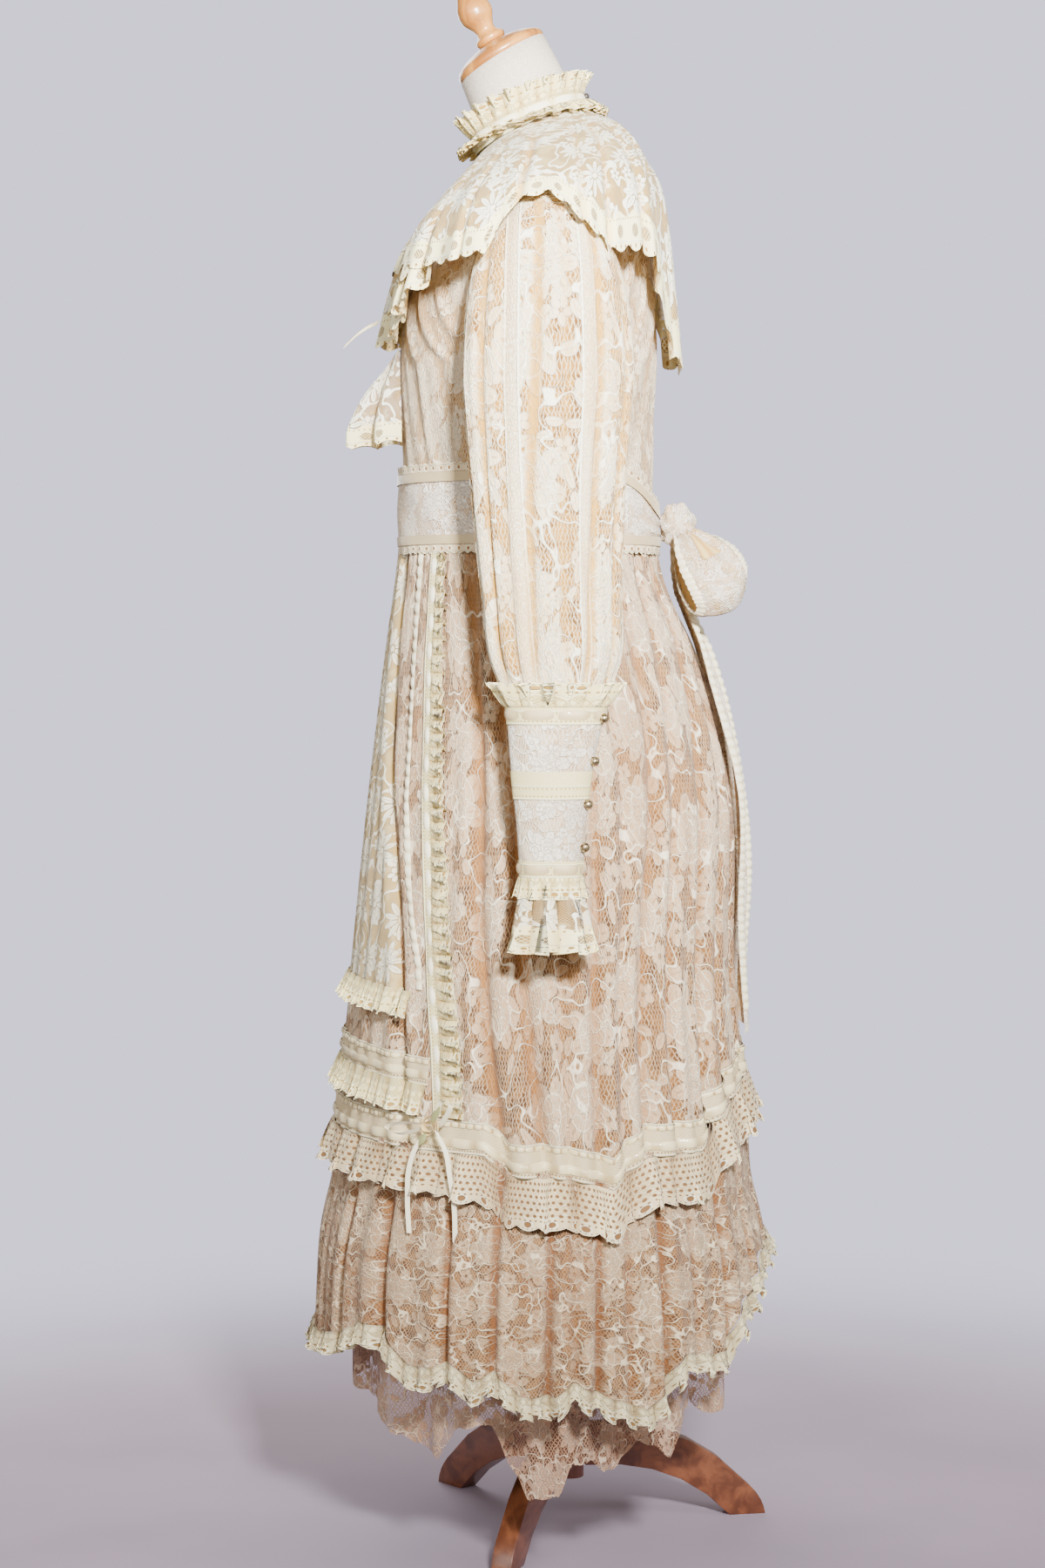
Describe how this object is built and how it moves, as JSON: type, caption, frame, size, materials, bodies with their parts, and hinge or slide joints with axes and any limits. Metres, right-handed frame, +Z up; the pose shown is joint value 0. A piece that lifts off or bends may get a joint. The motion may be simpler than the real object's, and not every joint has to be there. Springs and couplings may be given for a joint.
{
  "type": "lace dress on a dress form",
  "caption": "Long-sleeved lace dress with a stand collar, cape collar, sash with bow and flounced skirt, on a limbless dress form with a wooden tripod stand.",
  "frame": {"origin": "on the floor, at the middle of the whole part's footprint", "axes": "+Z up, -Y the front of the dress, +X the wearer's left"},
  "size_m": [0.6186, 0.4598, 1.5002],
  "materials": {
    "main_lace": "pinkish ivory floral corded lace over a tan lining, matt with a faint sheen",
    "daisy_lace": "near-white daisy lace on fine net",
    "peach_lace": "peach floral lace, sheer and matt",
    "cream_trim": "cream-yellow scalloped eyelet lace trim",
    "satin_ribbon": "cream satin ribbon, glossy along the weave",
    "sash_lace": "ivory lace over tan lining with satin ribbon edges",
    "form_linen": "pale beige-grey linen cover, plain weave",
    "light_wood": "varnished light beech",
    "dark_wood": "varnished reddish-brown wood",
    "silver_button": "small silver ball buttons, slightly worn"
  },
  "bodies": {
    "root": {"bodice_back": "main_lace", "bodice_front": "main_lace", "bow_knot": "sash_lace", "bow_loop_left": "sash_lace", "bow_loop_right": "sash_lace", "bow_tail_left": "sash_lace", "bow_tail_right": "sash_lace", "cape": "daisy_lace", "cascade_lower": "daisy_lace", "cascade_middle": "daisy_lace", "collar_band": "cream_trim", "collar_button": "silver_button", "collar_frill_lower": "cream_trim", "collar_frill_upper": "cream_trim", "cuff_button_1_left": "silver_button", "cuff_button_1_right": "silver_button", "cuff_button_2_left": "silver_button", "cuff_button_2_right": "silver_button", "cuff_button_3_left": "silver_button", "cuff_button_3_right": "silver_button", "cuff_button_4_left": "silver_button", "cuff_button_4_right": "silver_button", "cuff_frill_left": "cream_trim", "cuff_frill_right": "cream_trim", "cuff_left": "main_lace", "cuff_right": "main_lace", "finial": "light_wood", "flounce": "peach_lace", "form_torso": "form_linen", "hand_ruffle_left": "daisy_lace", "hand_ruffle_right": "daisy_lace", "hem_frill": "cream_trim", "jabot": "daisy_lace", "neck_cap": "light_wood", "panel_band_left": "cream_trim", "panel_band_right": "cream_trim", "panel_frill_left": "cream_trim", "panel_frill_right": "cream_trim", "sash": "sash_lace", "skirt": "main_lace", "sleeve_left": "main_lace", "sleeve_right": "main_lace", "stand_leg_1": "dark_wood", "stand_leg_2": "dark_wood", "stand_leg_3": "dark_wood", "stand_post": "dark_wood", "tier_band_2": "cream_trim", "tier_band_3": "cream_trim", "tier_frill_1": "cream_trim", "tier_frill_2": "cream_trim", "tier_ruffle_3": "cream_trim", "trim_bow_left": "satin_ribbon", "trim_bow_right": "satin_ribbon", "underskirt": "peach_lace"}
  },
  "joints": []
}
